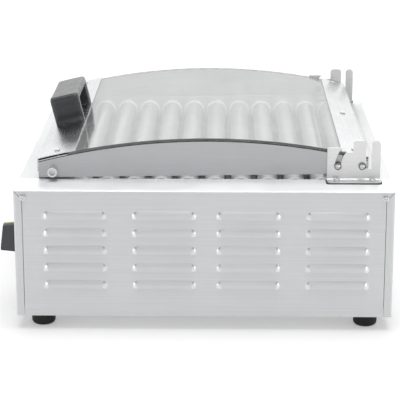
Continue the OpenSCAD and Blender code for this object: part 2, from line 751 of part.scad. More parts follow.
// Slotted hinge bracket on the right side: arm and two fingers, bent to a foot on the deck
module hinge_bracket() {
  y0 = piv_y - bracket_fore;
  y1 = piv_y + bracket_aft;
  yf = piv_y - finger_fore;
  low = zt + bracket_low;
  top = zt + bracket_high;
  half = guide_d / 2 + slot_fit;
  fit = pivot_d / 2 + run_fit;
  ch = piv_y + channel_off;
  aft = ch + channel_w / 2;
  inner = bracket_x + bracket_t;
  difference() {
    union() {
      translate([bracket_x, 0, 0]) rotate([90, 0, 90]) linear_extrude(bracket_t) {
        translate([y0, zt]) square([y1 - y0, bracket_low]);
        tab(y0, piv_y - guide_r + 9, zt, zt + bracket_arm, finger_round / 2);
        tab(yf, ch - channel_w / 2, zt, top, finger_round);
        tab(aft, y1, zt, top, (y1 - aft) / 2 - e);
      }
      translate([bracket_x, y0, zt]) linear_extrude(bracket_t) {
        square([bracket_foot - foot_corner, y1 - y0]);
        translate([0, foot_corner]) square([bracket_foot, y1 - y0 - 2 * foot_corner]);
        for (y = [foot_corner, y1 - y0 - foot_corner])
          translate([bracket_foot - foot_corner, y]) circle(r = foot_corner);
      }
      difference() {
        span([inner - e, y0, zt + bracket_t - e], [inner + bend_r, y1, zt + bracket_t + bend_r]);
        ycyl(y0 - 1, y1 + 1, 2 * bend_r, inner + bend_r, zt + bracket_t + bend_r);
      }
    }
    span([bracket_x - 1, ch - channel_w / 2, piv_z - fit], [bracket_x + 5, aft, top + 1]);
    span([bracket_x - 1, piv_y, piv_z - fit], [bracket_x + 5, aft, piv_z + fit]);
    xcyl(bracket_x - 1, bracket_x + 5, 2 * fit, piv_y, piv_z);
    xcyl(bracket_x - 1, bracket_x + 5, 2 * half, piv_y - guide_r, piv_z);
    intersection() {
      difference() {
        xcyl(bracket_x - 1, bracket_x + 5, 2 * (guide_r + half), piv_y, piv_z);
        xcyl(bracket_x - 2, bracket_x + 6, 2 * (guide_r - half), piv_y, piv_z);
      }
      span([bracket_x - 3, y0, piv_z], [bracket_x + 7, yf - 0.5, top + 5]);
    }
    bracket_holes(zt - 1, zt + 9);
  }
}

module hinge_bracket_right() color("whitesmoke") hinge_bracket();
module hinge_bracket_left() color("whitesmoke") mirror([1, 0, 0]) hinge_bracket();

module bracket_screws() color("silver") both() for (y = screw_ys)
  translate([bracket_x + bracket_t + screw_out, piv_y + y, 0]) {
    translate([0, 0, zt + bracket_t]) cylinder(d = screw_head_d, h = screw_head_t);
    translate([0, 0, zt - sheet - gap]) cylinder(d = screw_d, h = sheet + gap + bracket_t + e);
  }

lid_x = panel_x + panel_t;

// Sheet between two radii of the arch
module arch_band(r0, r1, x0, x1, y0, y1) intersection() {
  difference() {
    translate([x0, arch_y, arch_z]) rotate([0, 90, 0]) cylinder(r = r1, h = x1 - x0, $fn = 360);
    translate([x0 - 1, arch_y, arch_z]) rotate([0, 90, 0]) cylinder(r = r0, h = x1 - x0 + 2, $fn = 360);
  }
  span([x0 - 2, y0, zt], [x1 + 2, y1, zt + 100]);
}

function arch_h(y, r) = arch_z + sqrt(r * r - pow(y - arch_y, 2));

// Place children on the arch at y, radius r, standing square to it
module on_arch(y, r) translate([0, arch_y, arch_z]) rotate([asin((arch_y - y) / arch_r), 0, 0])
  translate([0, 0, r]) children();

module lid_panel() difference() {
  intersection() {
    yz(panel_x, panel_t,
      [[lid_f, zt + lift_front], [lid_b, zt + lift_rear], [lid_b, zt + 90], [lid_f, zt + 90]]);
    translate([panel_x - 1, arch_y, arch_z]) rotate([0, 90, 0])
      cylinder(r = arch_r - glass_t - seal_t, h = 9, $fn = 360);
  }
  xcyl(panel_x - 1, panel_x + 5, pivot_d + 0.1, piv_y, piv_z);
  xcyl(panel_x - 1, panel_x + 5, guide_d + 0.1, piv_y - guide_r, piv_z);
}

module lid_panel_right() color("lightgray") lid_panel();
module lid_panel_left() color("lightgray") mirror([1, 0, 0]) lid_panel();

module lid_glass() color([0.85, 0.9, 0.9, 0.5])
  arch_band(arch_r - glass_t, arch_r, -lid_x, lid_x,
    lid_f + strip_front - glass_lap, lid_b - strip_rear + glass_lap);

module lid_seals() color([0.1, 0.1, 0.1]) both()
  arch_band(arch_r - glass_t - seal_t, arch_r - glass_t, panel_x - 2, lid_x, lid_f, lid_b);

handle_y = lid_f + handle_in;

module screw_holes() for (s = [-1, 1])
  on_arch(handle_y, arch_r - 9) translate([s * (handle_len - handle_leg) / 2, 0, 0])
    cylinder(d = screw_d + 0.2, h = 20);

module lid_front_strip() color("whitesmoke") difference() {
  union() {
    arch_band(arch_r, arch_r + strip_t, -lid_x, lid_x, lid_f - strip_t, lid_f + strip_front);
    arch_band(arch_r - glass_t, arch_r - glass_t + 1, -lid_x, lid_x,
      lid_f - e, lid_f + strip_front - glass_lap - 0.5);
    span([-lid_x, lid_f - strip_t, arch_h(lid_f, arch_r) - fold_front],
      [lid_x, lid_f, arch_h(lid_f, arch_r) + 0.8 * strip_t]);
  }
  screw_holes();
  for (s = [-1, 1]) translate([s * (lid_x - rivet_in), 0, 0])
    on_arch(lid_f + strip_front / 2, arch_r - 9) cylinder(d = rivet_d / 2 + 0.2, h = 20);
}

module lid_rear_strip() color("whitesmoke") difference() {
  union() {
    arch_band(arch_r, arch_r + strip_t, -lid_x, lid_x, lid_b - strip_rear, lid_b + strip_t);
    arch_band(arch_r - glass_t, arch_r - glass_t + 1, -lid_x, lid_x,
      lid_b - strip_rear + glass_lap + 0.5, lid_b + e);
    span([-lid_x, lid_b, arch_h(lid_b, arch_r) - fold_rear],
      [lid_x, lid_b + strip_t, arch_h(lid_b, arch_r) + 0.8 * strip_t]);
  }
  for (x = [-1, 0, 1]) translate([x * (lid_x - rivet_in), 0, 0])
    on_arch(lid_b - strip_rear / 2, arch_r - 9) cylinder(d = rivet_d / 2 + 0.2, h = 20);
}

module strip_rivet() {
  translate([0, 0, strip_t]) cylinder(d = rivet_d, h = rivet_d / 5);
  translate([0, 0, -glass_t]) cylinder(d = rivet_d / 2, h = glass_t + strip_t + e);
}

module strip_rivets() color("silver") {
  for (s = [-1, 1]) translate([s * (lid_x - rivet_in), 0, 0])
    on_arch(lid_f + strip_front / 2, arch_r) strip_rivet();
  for (x = [-1, 0, 1]) translate([x * (lid_x - rivet_in), 0, 0])
    on_arch(lid_b - strip_rear / 2, arch_r) strip_rivet();
}

// Bridge handle: three rounded prisms give it rounded edges all round, and its feet follow the arch
module lid_handle() color([0.2, 0.2, 0.21]) difference() {
  on_arch(handle_y, arch_r) difference() {
    intersection() {
      rotate([90, 0, 90]) linear_extrude(handle_len + 2, center = true)
        rounded(handle_w, 2 * handle_h, handle_round);
      rotate([90, 0, 0]) linear_extrude(2 * handle_w, center = true)
        rounded(handle_len, 2 * handle_h, handle_edge);
      translate([0, 0, -handle_h / 2]) linear_extrude(2 * handle_h)
        rounded(handle_len, handle_w, handle_edge);
    }
    rotate([90, 0, 0]) linear_extrude(2 * handle_w, center = true)
      rounded(handle_len - 2 * handle_leg, 2 * (handle_h - handle_bar), handle_round);
    for (s = [-1, 1]) translate([s * (handle_len - handle_leg) / 2, 0, -1])
      cylinder(d = screw_d + 0.2, h = handle_grip + 2);
  }
  translate([-hw, arch_y, arch_z]) rotate([0, 90, 0])
    cylinder(r = arch_r + strip_t, h = casing_w, $fn = 360);
}

module handle_screws() color("silver") for (s = [-1, 1]) on_arch(handle_y, arch_r)
  translate([s * (handle_len - handle_leg) / 2, 0, 0]) {
    translate([0, 0, -glass_t - 3]) cylinder(d = screw_d * 2, h = 3);
    translate([0, 0, -glass_t - e]) cylinder(d = screw_d, h = glass_t + handle_grip);
  }

// Pin riveted in a lid panel, with a head outside the bracket
module lid_pin(d, y) {
  x1 = bracket_x + bracket_t + 0.6;
  xcyl(panel_x - 1.8, panel_x, pin_head_d, y, piv_z);
  xcyl(panel_x - 1, x1 + e, d, y, piv_z);
  xcyl(x1, x1 + 1.6, pin_head_d - 1, y, piv_z);
}

module pivot_pins() color("silver") both() lid_pin(pivot_d, piv_y);
module guide_pins() color("silver") both() lid_pin(guide_d, piv_y - guide_r);

module lid_pegs() color("whitesmoke") both() difference() {
  xcyl(lid_x, lid_x + peg_len, peg_d, lid_f + peg_in, zt + peg_up);
  xcyl(lid_x + peg_len - 6, lid_x + peg_len + 1, peg_d - 4, lid_f + peg_in, zt + peg_up);
}

// Tray with a rounded front plate and a pull lip that ends in a curl
module drip_tray() color("silver") {
  yb = hd - rim_rear - tray_back;
  yf = -hd - gap;
  yc = yf - tray_plate - lip + curl_d / 2;
  zl = tray_z - 7;
  span([-tray_hw, yf - e, tray_z - tray_t], [tray_hw, yb, tray_z]);
  span([-tray_hw, yb - tray_t, tray_z - tray_t], [tray_hw, yb, tray_z + tray_h]);
  both() span([tray_hw - tray_t, yf - e, tray_z - tray_t], [tray_hw, yb, tray_z + tray_h]);
  translate([0, yf, zl + (tray_h + 13) / 2]) rotate([90, 0, 0]) linear_extrude(tray_plate)
    rounded(2 * tray_hw + 10, tray_h + 13, 3);
  span([-lip_w / 2, yc, zl], [lip_w / 2, yf - tray_plate + e, zl + tray_plate]);
  difference() {
    xcyl(-lip_w / 2, lip_w / 2, curl_d, yc, zl + curl_d / 2);
    xcyl(-lip_w, lip_w, curl_d - 2 * tray_plate, yc, zl + curl_d / 2);
  }
}

// Knob with a rounded skirt and a grip whose front slants outward to the bottom
module knob(x) color([0.2, 0.2, 0.21]) translate([x, -hd, ctl_z]) rotate([90, 0, 0]) {
  r = knob_d / 2;
  slant = atan(grip_slant / (2 * r - 7));
  deep = knob_out - grip_round - (r - grip_round) * sin(slant);
  difference() {
    union() {
      translate([0, 0, 1]) rotate_extrude() {
        square([r - 2, skirt_t]);
        square([r, skirt_t - 2]);
        translate([r - 2, skirt_t - 2]) circle(r = 2);
      }
      intersection() {
        translate([-grip_w / 2, -r, skirt_t / 2]) cube([grip_w, 2 * r, knob_out]);
        rotate([90, 0, 90]) linear_extrude(grip_w + 2, center = true) rotate(-slant)
          rounded(2 * r, 2 * (grip_round + deep / cos(slant)), grip_round);
        translate([0, 0, skirt_t / 2]) cylinder(r1 = r - 0.3, r2 = r - 3, h = knob_out);
      }
    }
    cylinder(d = thread_d + 9, h = 6);
  }
  translate([0, 0, -shaft_in]) cylinder(d = knob_shaft_d, h = shaft_in + skirt_t + 2);
}

module knob_right() knob(knob_x);
module knob_left() knob(-knob_x);

// Centre the box front to rear
module at() translate([0, shift_y, 0]) children();

at() base_pan();
at() front_panel();
at() rear_panel();
at() side_panel_right();
at() side_panel_left();
at() end_wall_right();
at() end_wall_left();
at() tray_rails();
at() feet();
at() foot_screws();
at() corner_screws();
at() bushes_right();
at() bushes_left();
at() heater_rods();
at() heater_plate_right();
at() heater_plate_left();
at() gear_motor();
at() drive_chain();
at() thermostat_right();
at() thermostat_left();
at() thermostat_nuts();
at() indicator_lamps();
at() switch_housing();
at() terminal_block();
at() cable_gland();
at() gland_nut();
at() hinge_bracket_right();
at() hinge_bracket_left();
at() bracket_screws();
at() lid_panel_right();
at() lid_panel_left();
at() lid_glass();
at() lid_front_strip();
at() lid_rear_strip();
at() lid_seals();
at() lid_handle();
at() handle_screws();
at() strip_rivets();
at() pivot_pins();
at() guide_pins();
at() lid_pegs();
at() drip_tray();
at() knob_right();
at() knob_left();
at() switch_rocker();
at() motor_sprocket();
at() roller(1);  // roller_01
at() roller(2);  // roller_02
at() roller(3);  // roller_03
at() roller(4);  // roller_04
at() roller(5);  // roller_05
at() roller(6);  // roller_06
at() roller(7);  // roller_07
at() roller(8);  // roller_08
at() roller(9);  // roller_09
at() roller(10);  // roller_10
at() roller(11);  // roller_11
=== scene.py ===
import math
import bpy
import numpy as np
from mathutils import Matrix, Vector
from mathutils.bvhtree import BVHTree


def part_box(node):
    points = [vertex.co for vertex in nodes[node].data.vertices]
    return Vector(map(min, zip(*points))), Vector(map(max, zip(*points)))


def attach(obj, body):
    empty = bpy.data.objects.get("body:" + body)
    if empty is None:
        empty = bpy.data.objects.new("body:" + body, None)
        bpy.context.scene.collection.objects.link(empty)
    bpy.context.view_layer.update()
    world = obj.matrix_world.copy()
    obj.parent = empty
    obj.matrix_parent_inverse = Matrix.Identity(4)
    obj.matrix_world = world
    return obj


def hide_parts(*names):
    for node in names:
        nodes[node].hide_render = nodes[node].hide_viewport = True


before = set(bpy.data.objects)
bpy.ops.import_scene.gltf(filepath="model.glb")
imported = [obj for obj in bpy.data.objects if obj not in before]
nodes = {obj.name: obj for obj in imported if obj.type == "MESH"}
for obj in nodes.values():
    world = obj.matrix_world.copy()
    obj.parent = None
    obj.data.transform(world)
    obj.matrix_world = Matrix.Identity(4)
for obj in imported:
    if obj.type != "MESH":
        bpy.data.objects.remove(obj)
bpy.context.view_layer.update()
print("frame loaded,", len(nodes), "nodes")


def linear(hexText):  # sRGB hex to linear colour with full alpha
    parts = np.array([int(hexText[i:i + 2], 16) for i in (0, 2, 4)]) / 255.0
    flat = np.where(parts <= 0.04045, parts / 12.92, ((parts + 0.055) / 1.055) ** 2.4)
    return (*flat.tolist(), 1.0)


def addNode(tree, kind, values=None, links=None, **props):  # one node with its settings, values and links
    made = tree.nodes.new(kind)
    for key, value in props.items():
        setattr(made, key, value)
    for key, value in (values or {}).items():
        made.inputs[key].default_value = value
    for key, source in (links or {}).items():
        tree.links.new(source, made.inputs[key])
    return made


def newMaterial(name):
    mat = bpy.data.materials.new(name)
    mat.use_nodes = True
    tree = mat.node_tree
    tree.nodes.clear()
    return mat, tree, tree.nodes.new("ShaderNodeOutputMaterial")


# Brushed sheet steel: fine scratches along one direction and faint wiped patches.
# grain is the scratch spacing across and run its length along, in mm. Real scratches are
# near 0.1 mm apart, drawn coarser here so that they show. The finer ones spread the gloss
# across the brushing, so a flat sheet gathers light from overhead. Where a burnish is given, it is
# the roughness of pressed forms whose faces turn to the front or rear, which the press has polished.
steelLook = {"patches": 0.45, "low": 0.25, "high": 0.75, "darkest": 0.90, "palest": 1.06, "smoother": 0.05,
             "rougher": 0.06, "relief": 0.35, "tilt": 0.05, "pressedFrom": 0.1, "pressedTo": 0.3}


def brushedSteel(name, colour, rough, along, grain=1.2, run=90.0, depth=0.012, patch=55.0, edge=0.4,
                 spread=0.8, burnish=None):
    mat, tree, out = newMaterial(name)
    coord = addNode(tree, "ShaderNodeTexCoord")
    scale = [1000.0 / grain] * 3
    scale[along] = 1000.0 / run
    turned = addNode(tree, "ShaderNodeMapping", {"Scale": scale}, {"Vector": coord.outputs["Object"]})
    scratch = addNode(tree, "ShaderNodeTexNoise", {"Scale": 1.0, "Detail": 3.0, "Roughness": 0.6},
                      {"Vector": turned.outputs["Vector"]})
    wiped = addNode(tree, "ShaderNodeTexNoise", {"Scale": 1000.0 / patch, "Detail": 2.0, "Roughness": 0.5},
                    {"Vector": coord.outputs["Object"]})
    both = addNode(tree, "ShaderNodeMix", {"Factor": steelLook["patches"]}, data_type="FLOAT")
    tree.links.new(scratch.outputs["Fac"], both.inputs["A"])
    tree.links.new(wiped.outputs["Fac"], both.inputs["B"])
    base = linear(colour)
    tint = addNode(tree, "ShaderNodeValToRGB", links={"Fac": both.outputs["Result"]})
    tint.color_ramp.elements[0].position = steelLook["low"]
    tint.color_ramp.elements[1].position = steelLook["high"]
    tint.color_ramp.elements[0].color = (*[c * steelLook["darkest"] for c in base[:3]], 1.0)
    tint.color_ramp.elements[1].color = (*[min(1.0, c * steelLook["palest"]) for c in base[:3]], 1.0)
    gloss = addNode(tree, "ShaderNodeMapRange",
                    {"From Min": steelLook["low"], "From Max": steelLook["high"],
                     "To Min": rough - steelLook["smoother"], "To Max": rough + steelLook["rougher"]},
                    {"Value": both.outputs["Result"]})
    soft = addNode(tree, "ShaderNodeBevel", {"Radius": edge / 1000.0}, samples=4)
    lines = addNode(tree, "ShaderNodeBump", {"Strength": steelLook["relief"], "Distance": depth / 1000.0},
                    {"Height": scratch.outputs["Fac"], "Normal": soft.outputs["Normal"]})
    axis = [0.0, 0.0, 0.0]
    axis[along] = 1.0
    axis[along - 2] = steelLook["tilt"]  # so that faces square to the brushing keep a direction
    face = addNode(tree, "ShaderNodeNewGeometry")
    across = addNode(tree, "ShaderNodeVectorMath", {1: axis}, {0: face.outputs["Normal"]},
                     operation="CROSS_PRODUCT")
    finish = gloss.outputs["Result"]
    if burnish:
        faceY = addNode(tree, "ShaderNodeSeparateXYZ", links={0: face.outputs["Normal"]}).outputs["Y"]
        steep = addNode(tree, "ShaderNodeMath", links={0: faceY}, operation="ABSOLUTE")
        pressed = addNode(tree, "ShaderNodeMapRange",
                          {"From Min": steelLook["pressedFrom"], "From Max": steelLook["pressedTo"]},
                          {"Value": steep.outputs[0]})
        eased = addNode(tree, "ShaderNodeMix", {"B": burnish}, {"Factor": pressed.outputs["Result"]},
                        data_type="FLOAT")
        tree.links.new(finish, eased.inputs["A"])
        finish = eased.outputs["Result"]
    steel = addNode(tree, "ShaderNodeBsdfPrincipled", {"Metallic": 1.0, "Anisotropic": spread},
                    {"Base Color": tint.outputs["Color"], "Roughness": finish,
                     "Normal": lines.outputs["Normal"], "Tangent": across.outputs["Vector"]})
    tree.links.new(steel.outputs["BSDF"], out.inputs["Surface"])
    return mat


# Moulded plastic or rubber: a fine eroded grain and slight unevenness of the skin. Where a highlight
# colour is given, rounded edges are painted paler within a few mm of the edge: a painted highlight.
mouldLook = {"blotch": 18.0, "low": 0.3, "high": 0.7, "uneven": 0.05, "relief": 0.5, "highlightWidth": 4.0,
             "highlightFrom": 1.0, "highlightTo": 0.96}


def moulded(name, colour, rough, grain=0.6, depth=0.03, spread=0.08, edge=0.4, gloss=0.5, highlightColour=None):
    mat, tree, out = newMaterial(name)
    coord = addNode(tree, "ShaderNodeTexCoord")
    fine = addNode(tree, "ShaderNodeTexNoise", {"Scale": 1000.0 / grain, "Detail": 2.0, "Roughness": 0.55},
                   {"Vector": coord.outputs["Object"]})
    broad = addNode(tree, "ShaderNodeTexNoise", {"Scale": 1000.0 / mouldLook["blotch"], "Detail": 2.0},
                    {"Vector": coord.outputs["Object"]})
    base = linear(colour)
    tint = addNode(tree, "ShaderNodeValToRGB", links={"Fac": broad.outputs["Fac"]})
    tint.color_ramp.elements[0].position = mouldLook["low"]
    tint.color_ramp.elements[1].position = mouldLook["high"]
    tint.color_ramp.elements[0].color = (*[c * (1 - spread) for c in base[:3]], 1.0)
    tint.color_ramp.elements[1].color = (*[min(1.0, c * (1 + spread)) for c in base[:3]], 1.0)
    sheen = addNode(tree, "ShaderNodeMapRange",
                    {"From Min": mouldLook["low"], "From Max": mouldLook["high"],
                     "To Min": rough - mouldLook["uneven"], "To Max": rough + mouldLook["uneven"]},
                    {"Value": broad.outputs["Fac"]})
    soft = addNode(tree, "ShaderNodeBevel", {"Radius": edge / 1000.0}, samples=4)
    pores = addNode(tree, "ShaderNodeBump", {"Strength": mouldLook["relief"], "Distance": depth / 1000.0},
                    {"Height": fine.outputs["Fac"], "Normal": soft.outputs["Normal"]})
    paint = tint.outputs["Color"]
    # Painted highlight: a paler colour laid on the rounded edges, standing in for the light they catch.
    if highlightColour:
        wide = addNode(tree, "ShaderNodeBevel", {"Radius": mouldLook["highlightWidth"] / 1000.0}, samples=8)
        face = addNode(tree, "ShaderNodeNewGeometry")
        flat = addNode(tree, "ShaderNodeVectorMath", operation="DOT_PRODUCT",
                       links={0: wide.outputs["Normal"], 1: face.outputs["Normal"]})
        paintedRim = addNode(tree, "ShaderNodeMapRange",
                         {"From Min": mouldLook["highlightFrom"], "From Max": mouldLook["highlightTo"]},
                         {"Value": flat.outputs["Value"]})
        mixed = addNode(tree, "ShaderNodeMix", {"B": linear(highlightColour)}, {"Factor": paintedRim.outputs["Result"]},
                        data_type="RGBA")
        tree.links.new(paint, mixed.inputs["A"])
        paint = mixed.outputs["Result"]
    body = addNode(tree, "ShaderNodeBsdfPrincipled", {"Specular IOR Level": gloss},
                   {"Base Color": paint, "Roughness": sheen.outputs["Result"],
                    "Normal": pores.outputs["Normal"]})
    tree.links.new(body.outputs["BSDF"], out.inputs["Surface"])
    return mat


# Toughened clear glass with a faint wiped film, which veils what lies behind it. Lamps shine
# through it, so the rollers stay lit. From inside the pane the film doesn't show, so its edge is dark.
glassLook = {"smear": 70.0, "blur": 0.012, "ior": 1.5, "veil": "f2f3f3", "thinnest": 0.7, "thickest": 1.3}


def clearGlass(name, colour, rough, film):
    mat, tree, out = newMaterial(name)
    coord = addNode(tree, "ShaderNodeTexCoord")
    smear = addNode(tree, "ShaderNodeTexNoise", {"Scale": 1000.0 / glassLook["smear"], "Detail": 3.0},
                    {"Vector": coord.outputs["Object"]})
    haze = addNode(tree, "ShaderNodeMapRange", {"From Min": 0.35, "From Max": 0.7, "To Min": rough,
                                                "To Max": rough + glassLook["blur"]},
                   {"Value": smear.outputs["Fac"]})
    glass = addNode(tree, "ShaderNodeBsdfPrincipled",
                    {"Base Color": linear(colour), "Transmission Weight": 1.0, "IOR": glassLook["ior"]},
                    {"Roughness": haze.outputs["Result"]})
    clear = addNode(tree, "ShaderNodeBsdfTransparent", {"Color": linear(colour)})
    path = addNode(tree, "ShaderNodeLightPath")
    patchy = addNode(tree, "ShaderNodeMapRange", {"From Min": 0.3, "From Max": 0.7,
                                                  "To Min": film * glassLook["thinnest"],
                                                  "To Max": film * glassLook["thickest"]},
                     {"Value": smear.outputs["Fac"]})
    face = addNode(tree, "ShaderNodeNewGeometry")
    outside = addNode(tree, "ShaderNodeMath", {0: 1.0}, {1: face.outputs["Backfacing"]},
                      operation="SUBTRACT")
    amount = addNode(tree, "ShaderNodeMath", links={0: patchy.outputs["Result"], 1: outside.outputs[0]},
                     operation="MULTIPLY")
    veil = addNode(tree, "ShaderNodeBsdfDiffuse", {"Color": linear(glassLook["veil"])})
    filmed = addNode(tree, "ShaderNodeMixShader",
                     links={0: amount.outputs[0], 1: glass.outputs["BSDF"], 2: veil.outputs["BSDF"]})
    mixed = addNode(tree, "ShaderNodeMixShader",
                    links={0: path.outputs["Is Shadow Ray"], 1: filmed.outputs["Shader"],
                           2: clear.outputs["BSDF"]})
    tree.links.new(mixed.outputs["Shader"], out.inputs["Surface"])
    return mat


casingSteel = brushedSteel("brushed_steel_casing", "dadbdc", 0.46, along=1, grain=2.2, run=150.0,
                           burnish=0.2)
frontSteel = brushedSteel("brushed_steel_front", "dadbdc", 0.46, along=0, grain=2.2, run=150.0)
lidSteel = brushedSteel("brushed_steel_lid", "bbbcbe", 0.34, along=1)
stripSteel = brushedSteel("bright_steel_strip", "d6d7d8", 0.26, along=0)
bracketSteel = brushedSteel("bright_steel_bracket", "e3e3e3", 0.30, along=1, grain=0.9, run=40.0)
innerSteel = brushedSteel("plain_steel_inside", "cfd0d1", 0.42, along=1, grain=2.0)
rollerSteel = brushedSteel("polished_roller_steel", "c8c9c9", 0.34, along=1, grain=0.8, run=60.0, depth=0.004)
pinSteel = brushedSteel("turned_pin_steel", "d4d4d5", 0.22, along=0, grain=0.5, run=8.0, patch=9.0)
pegSteel = brushedSteel("polished_peg_steel", "f8f8f8", 0.5, along=0, grain=0.5, run=8.0, patch=9.0)
# The pins' dark steel is painted shade: round each bright cap it stands in for the shadow in the gap round
# the pin.
shadePinSteel = brushedSteel("painted_shade_pin_steel", "6f7072", 0.30, along=0, grain=0.5, run=8.0, patch=9.0)
chainSteel = brushedSteel("oiled_chain_steel", "6d6d6f", 0.38, along=1, grain=0.8, run=5.0, patch=12.0)
sheathSteel = brushedSteel("heat_stained_sheath", "8a7d6c", 0.4, along=0, grain=1.0, run=30.0, patch=30.0)
# The handle's rounded edges get a painted highlight in a paler grey.
handlePlastic = moulded("moulded_nylon_handle", "38393c", 0.28, grain=0.9, depth=0.006, spread=0.03,
                        highlightColour="a6a7aa")
knobPlastic = moulded("moulded_abs_knob", "46474a", 0.32, depth=0.012)
blackPlastic = moulded("moulded_abs_black", "1d1d1f", 0.42)
footRubber = moulded("moulded_rubber_foot", "1b1b1c", 0.62, grain=0.9, gloss=0.35)
sealRubber = moulded("extruded_rubber_seal", "2c2d2f", 0.55, grain=1.2, gloss=0.35)
bushPlastic = moulded("turned_white_bush", "efeeea", 0.4, spread=0.03)
blockPlastic = moulded("moulded_ivory_block", "d9d3bf", 0.45)
motorPaint = moulded("satin_motor_paint", "70757a", 0.42, grain=1.5)
lampPlastic = moulded("amber_lamp_lens", "d98a1c", 0.16, depth=0.004)
inlayPlastic = moulded("yellow_green_inlay", "b9c62e", 0.38, grain=0.9, depth=0.01, spread=0.05)
whitePrint = moulded("screen_printed_white", "e9e9e6", 0.55, grain=0.25, depth=0.01, spread=0.04)
greyPrint = moulded("screen_printed_grey", "3c3d40", 0.5, grain=0.25, depth=0.01, spread=0.05)
lidGlass = clearGlass("toughened_lid_glass", "fafbfb", 0.004, film=0.17)

rollerNames = ["roller_%02d" % (i + 1) for i in range(11)]
finishes = {
    casingSteel: ["side_panel_right", "side_panel_left"],
    frontSteel: ["front_panel", "rear_panel", "drip_tray"],
    innerSteel: ["base_pan", "end_wall_right", "end_wall_left", "tray_rails", "heater_plate_right",
                 "heater_plate_left"],
    lidSteel: ["lid_panel_right", "lid_panel_left"],
    stripSteel: ["lid_front_strip", "lid_rear_strip"],
    bracketSteel: ["hinge_bracket_right", "hinge_bracket_left"],
    pinSteel: ["corner_screws", "bracket_screws", "foot_screws", "handle_screws", "strip_rivets",
               "thermostat_nuts"],
    shadePinSteel: ["pivot_pins", "guide_pins"],
    pegSteel: ["lid_pegs"],
    rollerSteel: rollerNames,
    chainSteel: ["drive_chain", "motor_sprocket"],
    sheathSteel: ["heater_rods"],
    handlePlastic: ["lid_handle"],
    knobPlastic: ["knob_right", "knob_left"],
    blackPlastic: ["switch_housing", "switch_rocker", "cable_gland", "gland_nut", "thermostat_right",
                   "thermostat_left"],
    footRubber: ["feet"],
    sealRubber: ["lid_seals"],
    bushPlastic: ["bushes_right", "bushes_left"],
    blockPlastic: ["terminal_block"],
    motorPaint: ["gear_motor"],
    lampPlastic: ["indicator_lamps"],
    lidGlass: ["lid_glass"],
}
dressed = set()
for mat, names in finishes.items():
    for name in names:
        slots = nodes[name].data.materials
        slots.clear()
        slots.append(mat)
        dressed.add(name)
print("materials on", len(dressed), "nodes, left bare:", sorted(set(nodes) - dressed))


def points(name):  # all corners of a node's mesh
    mesh = nodes[name].data
    flat = np.empty(len(mesh.vertices) * 3)
    mesh.vertices.foreach_get("co", flat)
    return flat.reshape(-1, 3)


def addPiece(name, corners, faces, mat, body, smooth=True):
    mesh = bpy.data.meshes.new(name)
    mesh.from_pydata(np.asarray(corners).tolist(), [], faces)
    mesh.polygons.foreach_set("use_smooth", [smooth] * len(mesh.polygons))
    mesh.materials.append(mat)
    piece = bpy.data.objects.new(name, mesh)
    bpy.context.scene.collection.objects.link(piece)
    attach(piece, body)
    return piece


# Skin of a closed form given as rows of ring points, with a face over the first and the last ring.
def skin(rows, cols, start=0):
    r = np.arange(rows - 1)[:, None] * cols
    c = np.arange(cols)[None, :]
    n = (c + 1) % cols
    quads = np.stack([r + c, r + n, r + cols + n, r + cols + c], axis=-1).reshape(-1, 4) + start
    first = list(range(start + cols - 1, start - 1, -1))
    last = list(range(start + (rows - 1) * cols, start + rows * cols))
    return quads.tolist() + [first, last]


# Skin of a ring, whose last row is joined to its first.
def ringSkin(rows, cols, start=0):
    first = start + np.arange(cols)
    last = first + (rows - 1) * cols
    back = np.stack([last, np.roll(last, -1), np.roll(first, -1), first], axis=1)
    return skin(rows, cols, start)[:-2] + back.tolist()


def turnTo(axis):  # turns +Z to an axis
    return np.array(Vector((0, 0, 1)).rotation_difference(Vector(axis)).to_matrix())


# Domed heads: height falls with a power of the radius, less a cross whose arms are linear steps of
# the smaller of the two distances from the cross's lines. Lengths are shares of the radius.
dome = {"rings": 13, "steps": 48, "power": 2.4, "armHalf": 0.17, "armSlope": 0.06, "armEnd": 0.66,
        "armRunOut": 0.1, "sunk": 0.0003}


def domeHeads(name, body, places, radius, height, recess, mat):
    rings = np.concatenate([[1.0, 1.0], np.linspace(0.96, 0.04, dome["rings"])])[:, None]
    turn = np.linspace(0.0, 2 * np.pi, dome["steps"], endpoint=False)[None, :]
    u, v = rings * np.cos(turn), rings * np.sin(turn)
    arms = np.clip((dome["armHalf"] - np.minimum(abs(u), abs(v))) / dome["armSlope"], 0, 1)
    arms = arms * np.clip((dome["armEnd"] - rings) / dome["armRunOut"], 0, 1)
    up = height * (1 - (rings + 0 * turn) ** dome["power"]) - recess * arms
    up[0] = -dome["sunk"]
    head = np.stack([u * radius, v * radius, up], axis=-1).reshape(-1, 3)
    corners, faces = [], []
    for spot, axis in places:
        faces += skin(len(rings), dome["steps"], len(corners) * len(head))
        corners.append(head @ turnTo(axis).T + np.array(spot))
    return addPiece(name, np.concatenate(corners), faces, mat, body)


# Places of heads, read off the CAD solids: one group of points per side and end.
def groupsOf(name, cutsX, cutsY):
    co = points(name)
    keyX = np.digitize(co[:, 0], cutsX)
    keyY = np.digitize(co[:, 1], cutsY)
    found = [co[(keyX == i) & (keyY == j)] for i in range(len(cutsX) + 1) for j in range(len(cutsY) + 1)]
    return [g for g in found if len(g)]


def middle(group):
    return (group.min(axis=0) + group.max(axis=0)) / 2


cornerHead = {"radius": 0.00375, "height": 0.0011, "recess": 0.0009}
spots = []
for group in groupsOf("corner_screws", [0.0], [0.0]):
    side = np.sign(group[0, 0])
    centre = middle(group)
    spots.append(((side * abs(group[:, 0]).max(), centre[1], centre[2]), (side, 0, 0)))
domeHeads("corner_screw_heads", "casing", spots, mat=pinSteel, **cornerHead)

bracketHead = {"radius": 0.00375, "height": 0.0010, "recess": 0.0008}
hingeY = middle(points("hinge_bracket_right"))[1]
spots = [((*middle(g)[:2], g[:, 2].max()), (0, 0, 1)) for g in groupsOf("bracket_screws", [0.0], [hingeY])]
domeHeads("bracket_screw_heads", "casing", spots, mat=pinSteel, **bracketHead)

